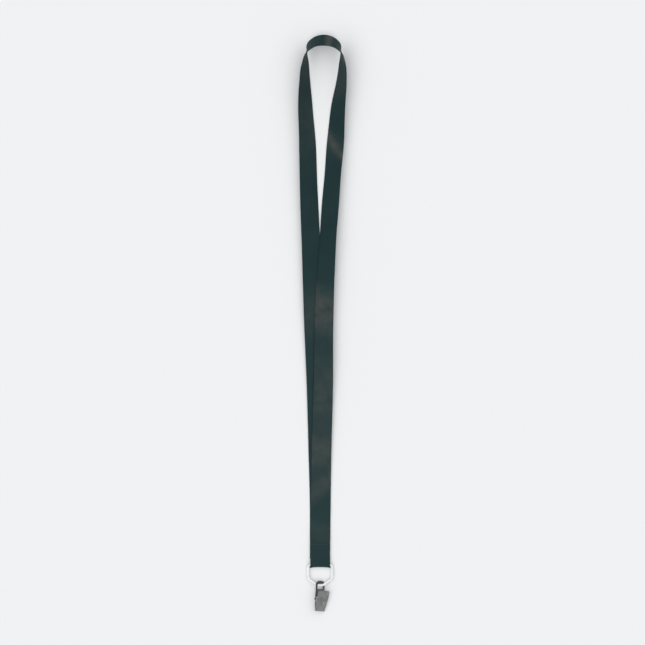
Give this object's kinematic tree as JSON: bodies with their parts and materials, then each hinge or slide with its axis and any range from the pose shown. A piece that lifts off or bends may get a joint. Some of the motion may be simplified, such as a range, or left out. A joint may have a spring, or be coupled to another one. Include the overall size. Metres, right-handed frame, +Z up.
{
  "type": "neck lanyard",
  "caption": "Neck lanyard: a flat satin ribbon loop sewn round a small plastic ring that holds a sprung metal bulldog clip.",
  "frame": {"origin": "middle of the whole lanyard's outline, on the surface that it lies on", "axes": "+Z up from the surface, +Y to the neck end, -Y to the clip, +X to the right seen from above"},
  "size_m": [0.0397, 0.4669, 0.0221],
  "materials": {
    "ribbon": "dark teal-black satin polyester",
    "thread": "polyester sewing thread",
    "ring_plastic": "white translucent, moulded",
    "plated_steel": "nickel plate, rolled, lightly worn",
    "pin_steel": "drawn, nickel plated",
    "spring_steel": "bright spring wire"
  },
  "bodies": {
    "strap": {"ribbon_strap": "ribbon", "needle_thread": "thread", "bobbin_thread": "thread"},
    "ring": {"d_ring": "ring_plastic"},
    "clip": {"clip_back_plate": "plated_steel", "clip_pivot_pin": "pin_steel", "clip_spring": "spring_steel"},
    "lever": {"clip_lever_plate": "plated_steel"}
  },
  "joints": [
    {"name": "ring_swing", "type": "hinge", "parent": "strap", "child": "ring", "pos_m": [-0.0015, -0.19588, 0.00182], "axis": [-1, 0, 0], "range_deg": [-60, 120]},
    {"name": "clip_swing", "type": "hinge", "parent": "ring", "child": "clip", "pos_m": [-0.0015, -0.21223, 0.00308], "axis": [-1, 0, 0], "range_deg": [-25, 30]},
    {"name": "jaw_open", "type": "hinge", "parent": "clip", "child": "lever", "pos_m": [-0.00111, -0.2233, 0.00411], "axis": [-0.8261, 0.0754, 0.5584], "range_deg": [0, 25], "stiffness_Nm_per_rad": 0.05, "springref_deg": -34.38, "deforming": ["clip_spring"]}
  ]
}
